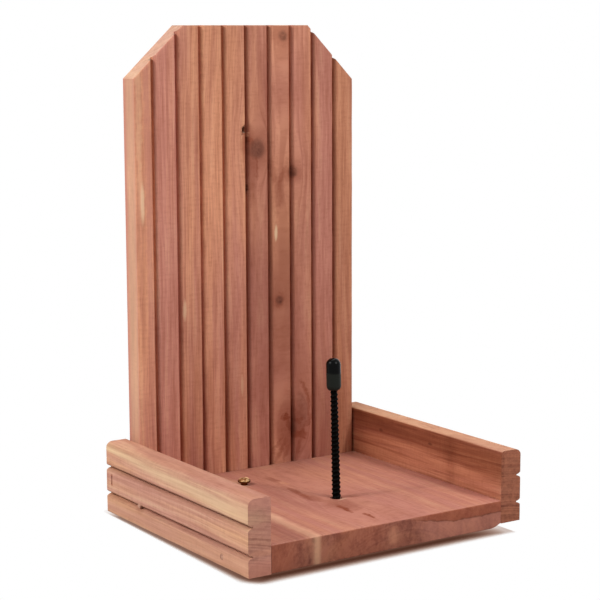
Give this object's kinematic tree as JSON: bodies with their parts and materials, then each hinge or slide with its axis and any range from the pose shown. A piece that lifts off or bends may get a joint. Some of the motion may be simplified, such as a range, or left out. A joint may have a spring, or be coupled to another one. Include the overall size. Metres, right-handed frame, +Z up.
{
  "type": "squirrel feeder",
  "caption": "Cedar squirrel feeder: a V-grooved back board with clipped top corners, a floor between grooved side rails, and a black screw spike with a soft cap for a corn cob.",
  "frame": {"origin": "middle of the footprint, at the foot of the feeder", "axes": "+Z up, +X to the right as seen from the front, +Y towards the wall that the feeder hangs on"},
  "size_m": [0.2222, 0.1906, 0.3429],
  "materials": {
    "board_cedar": "planed bare western red cedar, mauve to orange-tan",
    "floor_cedar": "planed bare cedar, pinkish, darker end grain",
    "rail_cedar": "planed bare cedar, grooved on the outside",
    "black_screw": "black coated steel, satin",
    "cap_rubber": "soft black vinyl, glossy round its top",
    "brass_screw": "yellow, polished dome",
    "rail_fastener": "dull galvanised steel",
    "back_fastener": "yellow zinc plate"
  },
  "bodies": {
    "frame": {"back_panel": "board_cedar", "floor_board": "floor_cedar", "left_rail": "rail_cedar", "right_rail": "rail_cedar", "corn_spike": "black_screw", "floor_screw": "brass_screw", "left_front_nail": "rail_fastener", "left_rear_nail": "rail_fastener", "right_front_nail": "rail_fastener", "right_rear_nail": "rail_fastener", "left_staple": "rail_fastener", "right_staple": "rail_fastener", "back_screw_left": "back_fastener", "back_screw_middle": "back_fastener", "back_screw_right": "back_fastener"},
    "cap": {"spike_cap": "cap_rubber"}
  },
  "joints": [
    {"name": "cap_pull", "type": "slide", "parent": "frame", "child": "cap", "axis": [-0.0174, 0.0116, 0.9998], "range_m": [0, 0.022]}
  ]
}
